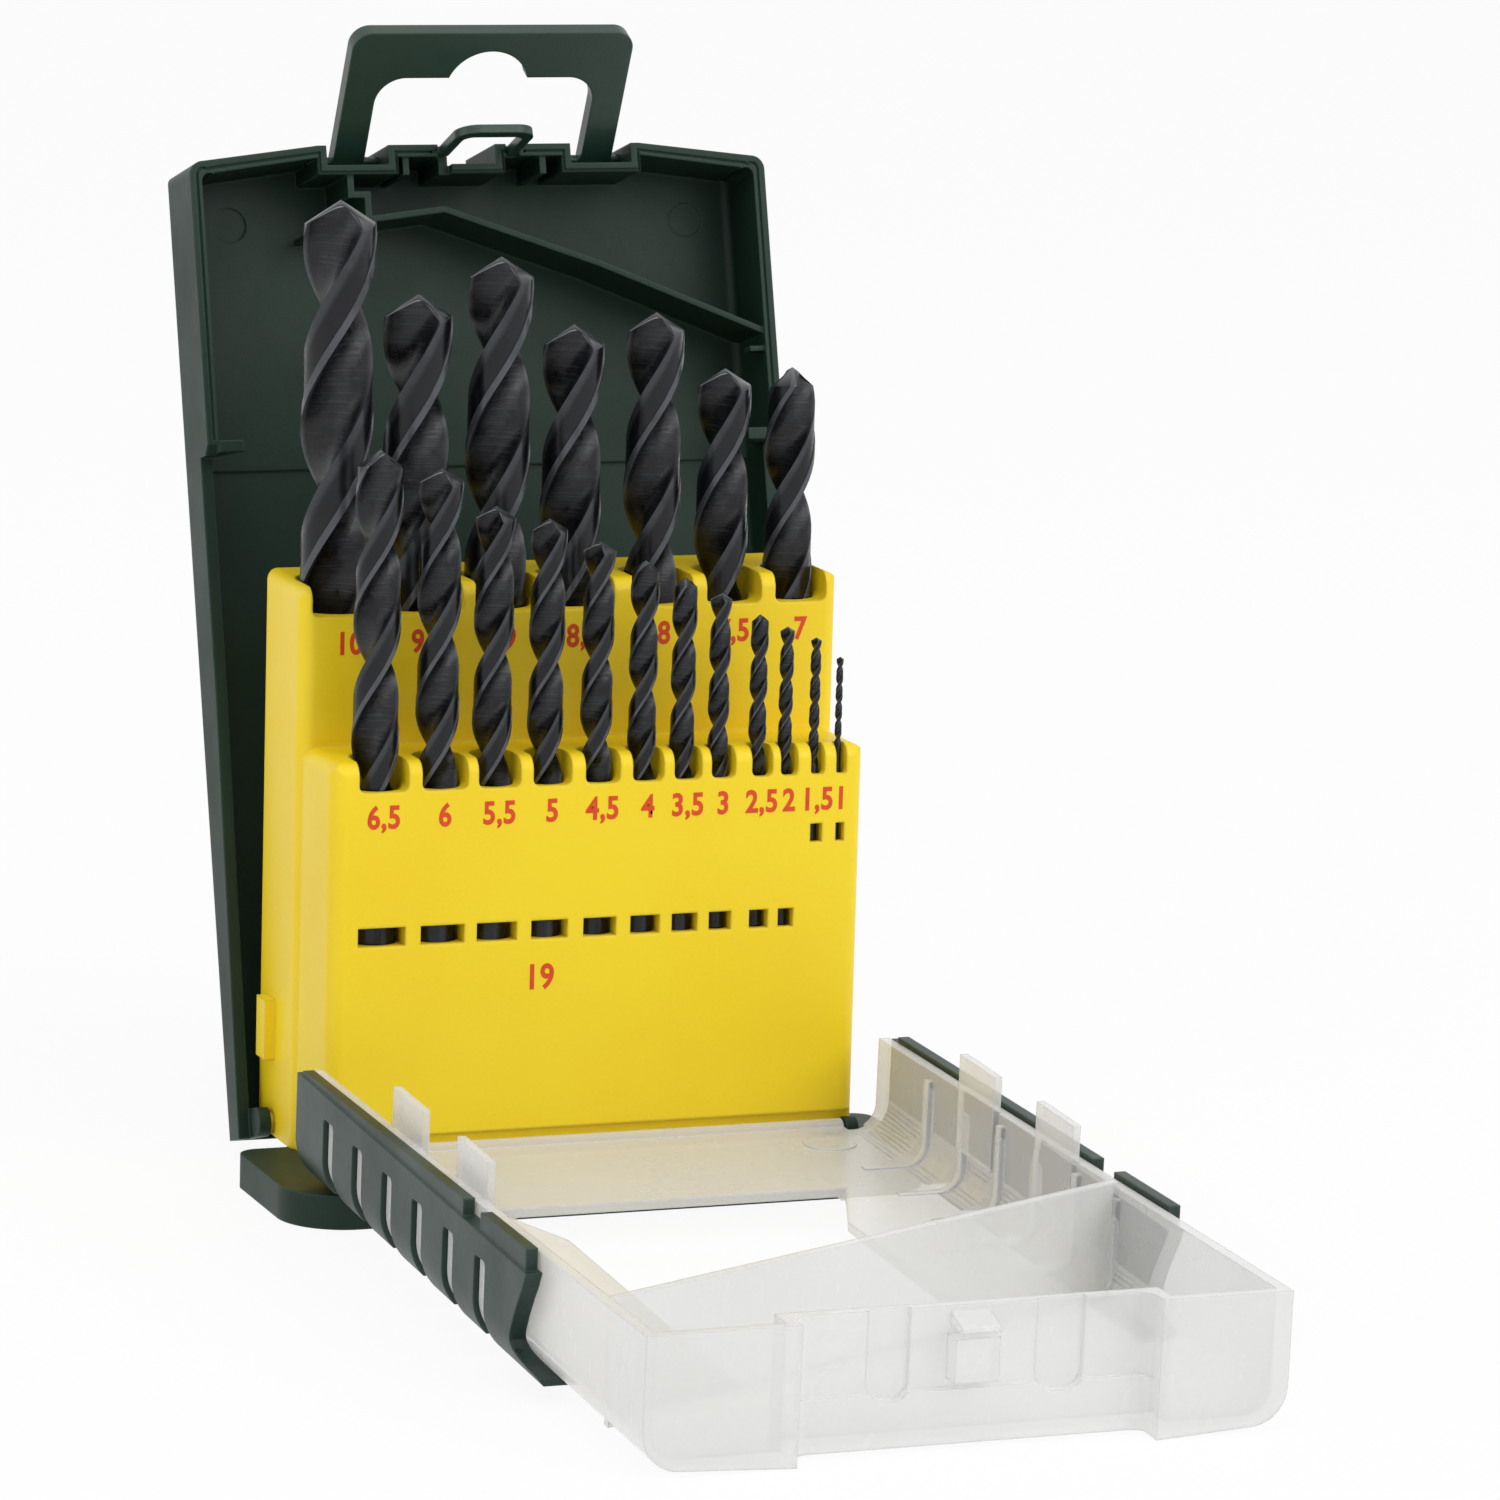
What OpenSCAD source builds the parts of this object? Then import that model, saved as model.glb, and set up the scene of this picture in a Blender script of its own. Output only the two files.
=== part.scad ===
// Drill bit case that stands open: a bit holder on a foot, a back cover that leans
// back with a hanging bail and a latch loop, and a clear lid that lies down in front.
// X runs across, Y to the back and Z up. The origin is on the floor under the holder.
// The cover and the lid are drawn closed round the holder, then turned open.

/* [Case] */
// Width across the lid
case_w = 84.2; // [84.2:0.1:85]
// Width across the back cover
cover_w = 86; // [85.8:0.1:87]
// Height of the closed case
case_h = 143.2; // [143.2:0.1:150]
// Depth behind the holder's middle that the back cover reaches
cover_back = 19.2; // [19.2:0.1:22]
// How far the open cover leans back, in degrees
cover_lean = 16; // [4:1:24]
// How far the open lid falls past level, in degrees
lid_fall = 2.4; // [1.5:0.1:2.6]
// Wall of the cover
cover_wall = 1.7; // [1.6:0.05:1.75]
// Wall of the lid
lid_wall = 1.6; // [1.4:0.1:1.8]

/* [Holder] */
// Width of the bit holder
holder_w = 78.4; // [77.6:0.1:78.4]
// Front face of the holder's low step
holder_front = -14.4; // [-14.6:0.1:-14]
// Front face of the holder's high step
holder_step = -1; // [-1.4:0.1:-0.6]
// Back face of the holder
holder_rear = 16.7; // [16:0.1:16.7]
// Top of the low step
low_top = 61.2; // [58:0.1:64]
// Top of the high step
high_top = 83.2; // [80:0.1:86]
// Depth of the notches in the front of each step
notch_depth = 4.1; // [3:0.1:5]
// Gap between a bit and its pocket, all round
pocket_gap = 0.3; // [0.2:0.05:0.35]

/* [Foot] */
// Width of the foot
foot_w = 93.6; // [90:0.1:96]
// Thickness of the foot
foot_t = 4.7; // [4.2:0.1:4.7]
// Front edge of the foot
foot_front = -27.8; // [-32:0.1:-26]

/* [Bail and latch] */
// Width of the hanging bail
bail_w = 41.8; // [41:0.1:42]
// Height of the bail above its pivot
bail_h = 21.9; // [20:0.1:22]
// How far the bail leans forward of the cover, in degrees
bail_lean = 42; // [0:1:45]
// How far the latch loop stands out in front of the cover's rim
latch_reach = 9.75; // [9.6:0.05:9.8]
// How far the open latch loop points up, in degrees
latch_lift = 8; // [0:1:12]

/* [Drill bits] */
// Clearance under a standing bit
bit_rest_gap = 0.1; // [0.05:0.05:0.2]
// Helix angle of the flutes
helix = 32; // [24:1:36]
// Angle across a bit's point
point_angle = 118; // [110:1:135]

/* [Hidden] */
$fn = 48;
eps = 0.01;

dark_green = "#34423c";
rim_green = "#2d4b41";
yellow = "#ebcd32";
black_oxide = "#2d2d32";
milky = [0.87, 0.87, 0.86, 0.6];

case_half = case_w / 2;
cover_half = cover_w / 2;
holder_half = holder_w / 2;
// Front edge of the cover's upper part when closed
cover_rim = 5.75;

// Pivots, as [y, z]
lid_pivot = [-15.56, 6.8];
cover_pivot = [9, 6.5];
bail_pivot = [12, case_h - 1.3];
latch_pivot = [cover_rim + 0.7, case_h - 0.95];

// Drill bits: name, diameter, length, flute length, x, pocket floor
HIGH_ROW = [
    ["drill_10",  10,  133,   87, -32.3, 2.2],
    ["drill_9_5", 9.5, 120,   81, -21.0, 2.2],
    ["drill_9",   9,   125,   81,  -9.2, 2.2],
    ["drill_8_5", 8.5, 115.5, 75,   1.5, 2.2],
    ["drill_8",   8,   117,   75,  13.4, 2.2],
    ["drill_7_5", 7.5, 109,   69,  23.7, 2.2],
    ["drill_7",   7,   109,   69,  33.6, 2.2]
];
LOW_ROW = [
    ["drill_6_5", 6.5, 101, 63, -31.2,  2.2],
    ["drill_6",   6,    93, 57, -22.5,  7.5],
    ["drill_5_5", 5.5,  93, 57, -14.7,  2.2],
    ["drill_5",   5,    86, 52,  -7.1,  7.3],
    ["drill_4_5", 4.5,  80, 47,   0.2, 10.0],
    ["drill_4",   4,    75, 43,   6.8, 12.2],
    ["drill_3_5", 3.5,  70, 39,  12.6, 14.7],
    ["drill_3",   3,    61, 33,  17.8, 21.4],
    ["drill_2_5", 2.5,  57, 30,  23.5, 22.3],
    ["drill_2",   2,    49, 24,  27.5, 28.5],
    ["drill_1_5", 1.5,  40, 18,  31.7, 35.9],
    ["drill_1",   1,    34, 12,  35.2, 39.1]
];
BITS = concat(HIGH_ROW, LOW_ROW);
// Front of the bits in each row
high_bit_front = 1.3;
low_bit_front = -13.1;

function bit_name(b) = b[0];
function bit_d(b) = b[1];
function bit_x(b) = b[4];
function bit_floor(b) = b[5];
function bit_y(b) = bit_d(b) / 2 + (bit_d(b) > 6.6 ? high_bit_front : low_bit_front);
function pocket_r(b) = bit_d(b) / 2 + pocket_gap;

// ---- Helpers

// Draws a shape of X and Z from y0 to y1
module in_xz(y0, y1) {
    translate([0, y1, 0]) rotate([90, 0, 0]) linear_extrude(y1 - y0) children();
}

// Draws a shape of Y and Z from x0 to x1
module in_yz(x0, x1) {
    translate([x0, 0, 0]) rotate([90, 0, 90]) linear_extrude(x1 - x0) children();
}

// Draws a shape of X and Y from z0 to z1
module in_xy(z0, z1) {
    translate([0, 0, z0]) linear_extrude(z1 - z0) children();
}

// A box between two corners
module block(low, high) {
    translate(low) cube(high - low);
}

// A round bar along X
module bar_x(r, x0, x1, at) {
    translate([x0, at[0], at[1]]) rotate([0, 90, 0]) cylinder(r = r, h = x1 - x0);
}

// A rectangle with round corners
module round_rect(low, high, r) {
    translate([low[0] + r, low[1]]) square([high[0] - low[0] - 2 * r, high[1] - low[1]]);
    translate([low[0], low[1] + r]) square([high[0] - low[0], high[1] - low[1] - 2 * r]);
    for (x = [low[0] + r, high[0] - r], y = [low[1] + r, high[1] - r])
        translate([x, y]) circle(r);
}

// The same thing on both sides
module both_sides() {
    children();
    mirror([1, 0, 0]) children();
}

// Turns the closed lid or cover about its pivot
module turned(pivot, angle) {
    translate([0, pivot[0], pivot[1]]) rotate([angle, 0, 0])
        translate([0, -pivot[0], -pivot[1]]) children();
}

module opened_lid() {
    turned(lid_pivot, 90 + lid_fall) children();
}

module opened_cover() {
    turned(cover_pivot, -cover_lean) children();
}

// ---- Foot

foot_rear = 1.2;
foot_front_r = 9;
foot_rear_r = 3;
tongue_w = 72;
tongue_rear = 13.5;
ear_in = 36.5;
ear_out = 38.3;
ear_r = 1.7;
stub_r = 0.85;
stub_in = 33.6;

module foot_plan() {
    half = foot_w / 2;
    translate([-half, foot_front + foot_front_r])
        square([foot_w, foot_rear - foot_rear_r - foot_front - foot_front_r]);
    translate([foot_front_r - half, foot_front]) square([foot_w - 2 * foot_front_r, foot_front_r + 1]);
    translate([foot_rear_r - half, foot_rear - foot_rear_r - 1])
        square([foot_w - 2 * foot_rear_r, foot_rear_r + 1]);
    for (side = [-1, 1]) {
        translate([side * (half - foot_front_r), foot_front + foot_front_r]) circle(foot_front_r, $fn = 96);
        translate([side * (half - foot_rear_r), foot_rear - foot_rear_r]) circle(foot_rear_r);
    }
    round_rect([-tongue_w / 2, foot_rear - 6], [tongue_w / 2, tongue_rear], 2);
}

// One ear of the lid's hinge, with its stub pin
module hinge_ear() {
    bar_x(ear_r, ear_in, ear_out, lid_pivot);
    block([ear_in, lid_pivot[0] - ear_r, foot_t - 1], [ear_out, lid_pivot[0] + ear_r, lid_pivot[1]]);
    bar_x(stub_r, stub_in, ear_in + eps, lid_pivot);
}

module base_foot() {
    color(dark_green) difference() {
        union() {
            in_xy(0, foot_t) foot_plan();
            both_sides() hinge_ear();
        }
        for (b = BITS) if (bit_floor(b) < foot_t)
            translate([bit_x(b), bit_y(b), bit_floor(b)]) cylinder(r = pocket_r(b), h = foot_t);
    }
}

// ---- Holder

holder_r = 2;
low_inset = 0.6;
holder_wall = 1.6;
tube_wall = 1;
roof_t = 6;
window_h = 2.6;
window_z = 35.8;
small_window_z = 47.6;
hinge_relief = [-13.6, 9.2];
cover_pin_r = 1.2;
cover_pin_out = 40.8;
pin_end = [4, 5, 13, 10];
rest_lug = [1.5, 8, 12, 15.5, 24];

// One step of the holder, rounded on its upright and top edges
module holder_step_block(half, y0, y1, top) {
    intersection() {
        in_xy(foot_t, top) round_rect([-half, y0], [half, y1 + holder_r], holder_r);
        in_xz(y0 - 1, y1) round_rect([-half, foot_t - holder_r], [half, top], holder_r);
        in_yz(-half - 1, half + 1)
            round_rect([y0, foot_t - holder_r], [y1 + holder_r, top], holder_r);
    }
}

// Rounds the holder's two rear upright edges
module holder_rear_edges() {
    in_xy(0, high_top + 1)
        round_rect([-holder_half, holder_front - holder_r], [holder_half, holder_rear], holder_r);
}

// Hollow under the steps, left open at the foot
module holder_core() {
    half = holder_half - holder_wall;
    block([-half, holder_front + holder_wall, 0], [half, holder_step + holder_wall, low_top - roof_t]);
    block([-half, holder_step + holder_wall, 0], [half, holder_rear - holder_wall, high_top - roof_t]);
}

// One pocket with its notch in the front of the step
module pocket(b) {
    high = bit_d(b) > 6.6;
    top = high ? high_top : low_top;
    front = high ? holder_step : holder_front;
    r = pocket_r(b);
    corner_r = min(1, r * 0.6);
    translate([bit_x(b), bit_y(b), min(bit_floor(b), foot_t - 1)])
        cylinder(r = r, h = top);
    in_xz(front - 1, bit_y(b)) translate([bit_x(b), 0])
        round_rect([-r, top - notch_depth], [r, top + 3], corner_r);
}

module pocket_floor(b) {
    translate([bit_x(b), bit_y(b), foot_t]) cylinder(r = pocket_r(b) + eps, h = bit_floor(b) - foot_t);
}

// Peep window in front of a small bit
module peep_window(b) {
    z = bit_d(b) < 1.9 ? small_window_z : window_z;
    half = bit_d(b) / 2 + 0.15;
    block([bit_x(b) - half, holder_front - 1, z], [bit_x(b) + half, bit_y(b), z + window_h]);
}

module bit_holder() {
    color(yellow) {
        difference() {
            union() {
                intersection() {
                    union() {
                        holder_step_block(holder_half - low_inset, holder_front, holder_step + 4, low_top);
                        holder_step_block(holder_half, holder_step, holder_rear, high_top);
                    }
                    holder_rear_edges();
                }
                // Rests for the cover's side walls
                both_sides() block([holder_half - 1, rest_lug[1], rest_lug[3]],
                    [holder_half + rest_lug[0], rest_lug[2], rest_lug[4]]);
            }
            difference() {
                holder_core();
                for (b = BITS) translate([bit_x(b), bit_y(b), 0])
                    cylinder(r = pocket_r(b) + tube_wall, h = high_top);
                // Solid ends carry the hinge pins
                both_sides() block([holder_half - pin_end[0], pin_end[1], 0],
                    [holder_half, pin_end[2], pin_end[3]]);
            }
            for (b = BITS) pocket(b);
            for (b = LOW_ROW) peep_window(b);
            block([-holder_half - 1, holder_front - 1, 0], [holder_half + 1, hinge_relief[0], hinge_relief[1]]);
        }
        for (b = BITS) if (bit_floor(b) > foot_t) pocket_floor(b);
        both_sides() bar_x(cover_pin_r, holder_half - 1, cover_pin_out, cover_pivot);
    }
}

// ---- Back cover

cover_bottom = 4.4;
cover_in = cover_half - cover_wall;
cover_r = 2.5;
back_in = cover_back - 1.7;
back_step = 0.5;
step_z = 98.7;
shoulder_x = 24;
shoulder_drop = 2;
shoulder_w = 2;
top_in = case_h - cover_wall;
channel_x = 18.2;
channel_half = 4.6;
channel_floor = case_h - 2.8;
channel_wall = 1.3;
mid_channel = [-4.5, 2.3];
pin_gap = 0.05;
bail_pin_r = 0.7;
bail_pin_half = 5.4;
latch_pin_r = 0.4;
latch_pin = 1;
latch_t = 1.2;
latch_x = [-6, 5.6];
latch_leg = 1.4;
boss_r = 2.05;
boss_x = [cover_in - 1.5, cover_in + 0.2];
cover_bore_end = 41;
// The cover's lower side walls stand back: front edges as [y, z]
SIDE_EDGE = [[12.8, 0], [9.7, 66], [9.7, 99.8], [7.2, 99.8], [cover_rim, 101.2]];
groove = [0.85, 0.4];
lip_z = 101.7;
lip_t = 1.6;
lip_reach = 3.6;
// Slanted rib inside the cover, as [x, z] along its underside
RIB_LINE = [[-25, 130.6], [-16.5, 132.3], [-5.7, 133.6], [17.1, 125.5], [cover_in + eps, 115.4]];
rib_t = 0.9;
rib_front = cover_rim + 0.6;
rib_back_front = 10;
rib_turn = 1;
bracket = [-19.8, -18.9, -17.4, -16.5];
bracket_z = [132.4, 135.8];
gusset_x = [-11, 9.5];
gusset_h = 2.5;
side_rib_z = [59.9, 35.5, 21.4, 10.2];
side_rib = [0.7, 14.4, 0.4];
side_tab = [2.2, 112.9, 0.7, 9];
round_mark = [34.4, 133.8, 2.5, 0.3];

// Front view of the cover, grown or shrunk by its wall
module cover_front_view(half, top, bottom, corner_r) {
    drop_x = half - shoulder_w;
    polygon([
        [-half, bottom], [half, bottom], [half, top - shoulder_drop - corner_r],
        [drop_x, top - shoulder_drop], [shoulder_x, top], [-shoulder_x, top],
        [-drop_x, top - shoulder_drop], [-half, top - shoulder_drop - corner_r]
    ]);
    for (side = [-1, 1])
        translate([side * (half - corner_r), top - shoulder_drop - corner_r]) circle(corner_r);
}

// The three channels in the top wall, grown by a wall
module top_channels(grow, floor_z) {
    deep = 20;
    for (side = [-1, 1])
        translate([side * channel_x - channel_half - grow, floor_z])
            square([2 * (channel_half + grow), deep]);
    translate([mid_channel[0] - grow, floor_z])
        square([mid_channel[1] - mid_channel[0] + 2 * grow, deep]);
}

// Front view with its channels, shrunk by an even wall
module cover_outline(wall) {
    difference() {
        cover_front_view(cover_half - wall, case_h - wall, cover_bottom - 5, 2 - wall);
        top_channels(wall, channel_floor - wall);
    }
}

// Room inside the cover, up to a height
module cover_hollow(rear, top) {
    intersection() {
        in_xz(-cover_back, rear) difference() {
            cover_front_view(cover_in, top_in, 0, 1.2);
            top_channels(channel_wall, channel_floor - channel_wall);
        }
        in_xy(-1, top) round_rect([-cover_in, -cover_back], [cover_in, rear], 1.2);
    }
}

module cover_shell() {
    difference() {
        intersection() {
            in_xz(0, cover_back) difference() {
                cover_front_view(cover_half, case_h, cover_bottom, 2);
                top_channels(0, channel_floor);
            }
            in_xy(0, case_h + 1)
                round_rect([-cover_half, -cover_back], [cover_half, cover_back], cover_r);
            in_yz(-cover_half - 1, cover_half + 1) polygon(concat(
                [[cover_rim, case_h + 1], [cover_back + 1, case_h + 1], [cover_back + 1, 0]], SIDE_EDGE));
        }
        cover_hollow(back_in - back_step, case_h);
        cover_hollow(back_in, step_z);
        // Groove along the upper rim
        intersection() {
            in_xz(0, cover_rim + groove[1]) difference() {
                cover_outline(groove[0]);
                cover_outline(groove[0] + groove[1]);
            }
            block([-cover_half, 0, lip_z], [cover_half, cover_back, case_h]);
        }
    }
}

// Slanted rib, bracket, shelves and short ribs inside the cover
module cover_ribs() {
    back = back_in + eps;
    upper_back = back_in - back_step + eps;
    last = len(RIB_LINE) - 1;
    for (i = [0:last - 1])
        in_xz(i < rib_turn ? rib_back_front : rib_front, upper_back)
            polygon([RIB_LINE[i], RIB_LINE[i + 1], RIB_LINE[i + 1] + [0, rib_t], RIB_LINE[i] + [0, rib_t]]);
    // Bracket from the rib up to the channel
    block([bracket[2], rib_front, bracket_z[0]], [bracket[3], upper_back, bracket_z[1] + rib_t]);
    block([bracket[0], rib_front, bracket_z[1]], [bracket[3], upper_back, bracket_z[1] + rib_t]);
    block([bracket[0], rib_front, bracket_z[1]],
        [bracket[1], upper_back, channel_floor - channel_wall + eps]);
    // Gussets under the top wall
    for (x = gusset_x)
        block([x - rib_t / 2, rib_front, top_in - gusset_h], [x + rib_t / 2, upper_back, top_in + eps]);
    both_sides() {
        // Lip that ends the upper part
        in_xy(lip_z - lip_t, lip_z) polygon([
            [cover_in + eps, cover_rim], [cover_in - lip_reach, cover_rim],
            [cover_in - lip_reach, cover_rim + rib_t], [cover_in + eps, upper_back - lip_reach]
        ]);
        // Short ribs on the side walls
        for (z = side_rib_z)
            block([cover_in - side_rib[0], side_rib[1], z - side_rib[2]],
                [cover_in + eps, back, z + side_rib[2]]);
    }
    block([cover_in - side_tab[0], rib_front, side_tab[1]],
        [cover_in + eps, side_tab[3], side_tab[1] + side_tab[2]]);
}

// Arm that carries the cover on the holder's pin
module hinge_boss() {
    bar_x(boss_r, boss_x[0], boss_x[1], cover_pivot);
    block([boss_x[0], cover_pivot[0], cover_pivot[1] - boss_r],
        [cover_in + eps, back_in + eps, cover_pivot[1] + boss_r]);
}

// Slots and pin holes for the latch loop's two legs
module latch_seats() {
    gap = 0.3;
    end = latch_pin + gap;
    for (low_x = [latch_x[0], latch_x[1] - latch_leg])
        block([low_x - gap, cover_rim - 1, top_in - 3],
            [low_x + latch_leg + gap, latch_pivot[0] + latch_t / 2 + gap, case_h + 1]);
    bar_x(latch_pin_r + pin_gap, latch_x[0] - end, latch_x[0], latch_pivot);
    bar_x(latch_pin_r + pin_gap, latch_x[1], latch_x[1] + end, latch_pivot);
}

module back_cover() {
    pin_reach = channel_half + channel_wall;
    color(dark_green) opened_cover() difference() {
        union() {
            cover_shell();
            cover_ribs();
            both_sides() hinge_boss();
        }
        both_sides() bar_x(cover_pin_r + pin_gap, holder_half, cover_bore_end, cover_pivot);
        for (side = [-1, 1])
            bar_x(bail_pin_r + pin_gap, side * channel_x - pin_reach, side * channel_x + pin_reach, bail_pivot);
        latch_seats();
        // Marks where the moulding was pushed out
        both_sides() translate([round_mark[0], back_in - back_step - eps, round_mark[1]])
            rotate([-90, 0, 0]) cylinder(r = round_mark[2], h = round_mark[3]);
    }
}

// ---- Bail

bail_leg = 4.6;
bail_t = 2.2;
bail_bar = 7.4;
bail_r = 2.8;
bail_inner_r = 4.2;
bail_arch_r = 6.1;
bail_arch_z = 12.7;
bail_shift = 0.5;

module bail_face() {
    half = bail_w / 2;
    low = 8;
    difference() {
        round_rect([-half, -low], [half, bail_h], bail_r);
        translate([-half - 1, -low - 1]) square([bail_w + 2, low + 1]);
        round_rect([-half + bail_leg, -low], [half - bail_leg, bail_h - bail_bar], bail_inner_r);
        translate([0, bail_arch_z]) circle(bail_arch_r);
    }
}

module hanger() {
    leg_x = bail_w / 2 - bail_leg / 2;
    color(rim_green) opened_cover() turned(bail_pivot, bail_lean) translate([0, bail_pivot[0], bail_pivot[1]]) {
        translate([bail_shift, 0, 0]) {
            in_xz(-bail_t / 2, bail_t / 2) bail_face();
            for (side = [-1, 1])
                bar_x(bail_t / 2, side * leg_x - bail_leg / 2, side * leg_x + bail_leg / 2, [0, 0]);
        }
        for (side = [-1, 1])
            bar_x(bail_pin_r, side * channel_x - bail_pin_half, side * channel_x + bail_pin_half, [0, 0]);
    }
}

// ---- Latch loop

loop_bar = 2.2;
loop_r = [3, 1.6];

module latch_loop() {
    z = latch_pivot[1];
    front = cover_rim - latch_reach;
    rear = latch_pivot[0] + 6;
    color(rim_green) opened_cover() turned(latch_pivot, -latch_lift) {
        in_xy(z - latch_t / 2, z + latch_t / 2) difference() {
            round_rect([latch_x[0], front], [latch_x[1], rear], loop_r[0]);
            round_rect([latch_x[0] + latch_leg, front + loop_bar], [latch_x[1] - latch_leg, rear], loop_r[1]);
            translate([latch_x[0] - 1, latch_pivot[0]]) square([latch_x[1] - latch_x[0] + 2, 7]);
        }
        bar_x(latch_t / 2, latch_x[0], latch_x[0] + latch_leg, latch_pivot);
        bar_x(latch_t / 2, latch_x[1] - latch_leg, latch_x[1], latch_pivot);
        bar_x(latch_pin_r, latch_x[0] - latch_pin, latch_x[0] + eps, latch_pivot);
        bar_x(latch_pin_r, latch_x[1] - eps, latch_x[1] + latch_pin, latch_pivot);
    }
}

// ---- Lid

lid_top = 142.4;
lid_plate = -14.9;
lid_ridge = -16.7;
lid_edge = -15.95;
lid_panel = -16.2;
corner_r = 5;
lid_corner = [case_half - corner_r, lid_edge + corner_r];
lid_in = case_half - lid_wall;
lid_start = 8.9;
lid_deep = 8;
recess = [-22.2, 24.8];
ridge_slope = 0.6;
recess_top = lid_top - 4;
ledge = [-9.2, 0.8];
bead_r = 1.5;
bead_half = 36.2;
rib_pitch = 12.8;
first_rib = 28;
lid_rib = [1.5, 0.9, 0.2, 1.2];
plate_rib_x = 31;
wall_t = 1.5;
wall_left = 126.2;
wall_right = 92.2;
wall_top = 0.8;
tongue_x = [39.6, 40.7];
tongue_z = [40.2, 66.8];
tongue_h = 12.2;
tongue_top = 5.2;
tongue_seat = 1.8;
catch = [-1.8, -8, 4, -2.4];
catch_top = 141.2;
hook = [-1.5, 3.6];
hook_y = [-1.4, -0.8, 0.6];
hook_top = 142.3;
slot_pitch = 12.7;
first_slot = 21.9;
slot_w = 4.2;
slot_top = -5.2;
strip_out = 1.5;
window_corner = [25.3, 36.7];
window_neck = [19.7, 52];
window_top = [115.2, 97.6];
drain = [-9.45, 13.05];
drain_half = [2.75, 3.15];
drain_bottom = -10.4;
drain_deep = 0.6;
round_boss = [31, 16, 3.7, 0.7];
ear_gap = 0.5;

// Height of the lid's rim, as y, at a height z of the closed case
function rim_at(z) = -2.2 + (z - 8) * 3.4 / 134;

// Section across the lid, grown outward
module lid_outside(grow) {
    r = corner_r + grow;
    polygon([
        [-lid_corner[0], lid_edge], [recess[0], lid_ridge], [recess[0] + ridge_slope, lid_panel],
        [recess[1] - ridge_slope, lid_panel], [recess[1], lid_ridge], [lid_corner[0], lid_edge],
        [lid_corner[0], lid_deep], [-lid_corner[0], lid_deep]
    ]);
    for (side = [-1, 1]) {
        translate([side * lid_corner[0], lid_corner[1]]) circle(r, $fn = 64);
        translate([side * (lid_corner[0] + r / 2), (lid_corner[1] + lid_deep) / 2])
            square([r, lid_deep - lid_corner[1]], center = true);
    }
}

module lid_inside(side_gap, plate_gap, r) {
    round_rect([-lid_in + side_gap, lid_plate + plate_gap], [lid_in - side_gap, 20], r);
}

// Everything in front of the lid's rim, grown past it
module under_rim(grow, z0, z1) {
    far = -30;
    in_yz(-60, 60)
        polygon([[far, z0], [rim_at(z0) + grow, z0], [rim_at(z1) + grow, z1], [far, z1]]);
}

module lid_shell() {
    deep = 20;
    intersection() {
        difference() {
            in_xy(lid_start, lid_top) lid_outside(0);
            difference() {
                in_xy(0, lid_top - lid_wall) lid_inside(0, 0, 3.4);
                block([recess[0] - lid_wall, -deep, recess_top - lid_wall],
                    [recess[1] + lid_wall, deep, lid_top]);
            }
            in_xz(-30, ledge[0]) round_rect([recess[0], recess_top + ledge[1]], [recess[1], lid_top + deep], 2.5);
            in_xz(ledge[0], 30) round_rect([recess[0], recess_top], [recess[1], lid_top + deep], 2.5);
        }
        under_rim(0, lid_start, lid_top);
    }
}

// Barrel along the plate's lower edge
module lid_barrel() {
    bar_x(bead_r, -bead_half, bead_half, lid_pivot);
    block([-bead_half, lid_panel, lid_pivot[1]], [bead_half, lid_plate, lid_start + eps]);
}

// Ribs that run down the side walls and turn onto the plate
module lid_ribs() {
    for (i = [0:5]) {
        z = first_rib + i * rib_pitch;
        intersection() {
            in_xy(z, z + lid_rib[0]) difference() {
                lid_inside(-eps, -eps, 3.4);
                lid_inside(lid_rib[1], lid_rib[2], 2.8);
                translate([-plate_rib_x, -20]) square([2 * plate_rib_x, 40]);
            }
            under_rim(-lid_rib[3], z, z + lid_rib[0]);
        }
    }
    // Slanted wall across the lid
    half = lid_in + eps;
    in_xz(lid_plate - 0.5, wall_top) polygon([
        [-half, wall_left - wall_t], [half, wall_right - wall_t], [half, wall_right], [-half, wall_left]
    ]);
}

// Upright tongues that slide inside the cover's side walls
module lid_tongues() {
    for (z = tongue_z) {
        rim = rim_at(z + tongue_h / 2);
        both_sides() {
            in_xz(rim - lid_deep, rim + tongue_top) polygon([
                [tongue_x[0], z], [tongue_x[1], z], [tongue_x[1], z + tongue_h], [tongue_x[0], z + tongue_h]
            ]);
            block([tongue_x[0], rim - lid_deep, z], [lid_in + eps, rim - tongue_seat, z + tongue_h]);
        }
    }
}

// Plate and hook for the latch loop
module lid_catch() {
    low = recess_top - 1;
    block([catch[0], catch[1], low], [catch[2], catch[3], catch_top]);
    in_yz(hook[0], hook[1])
        polygon([[hook_y[0], low], [hook_y[0], hook_top], [hook_y[1], hook_top], [hook_y[2], low]]);
}

// Strips of the lid that show in the grips' slots
module lid_strips() {
    gap = 0.3;
    for (i = [0:5]) {
        z = first_slot + i * slot_pitch;
        intersection() {
            in_xy(z + gap, z + slot_w - gap) difference() {
                lid_outside(strip_out);
                lid_outside(-0.5);
                translate([-lid_corner[0] - 0.1, -30]) square([2 * lid_corner[0] + 0.2, 60]);
            }
            block([-60, lid_edge + 0.35, 0], [60, slot_top - gap, 200]);
        }
    }
}

module lid_window() {
    in_xz(-20, lid_plate + 1) polygon([
        [-window_corner[0], window_corner[1]], [window_corner[0], window_corner[1]],
        window_neck, [window_neck[0], window_top[1]],
        [-window_neck[0], window_top[0]], [-window_neck[0], window_neck[1]]
    ]);
}

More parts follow.
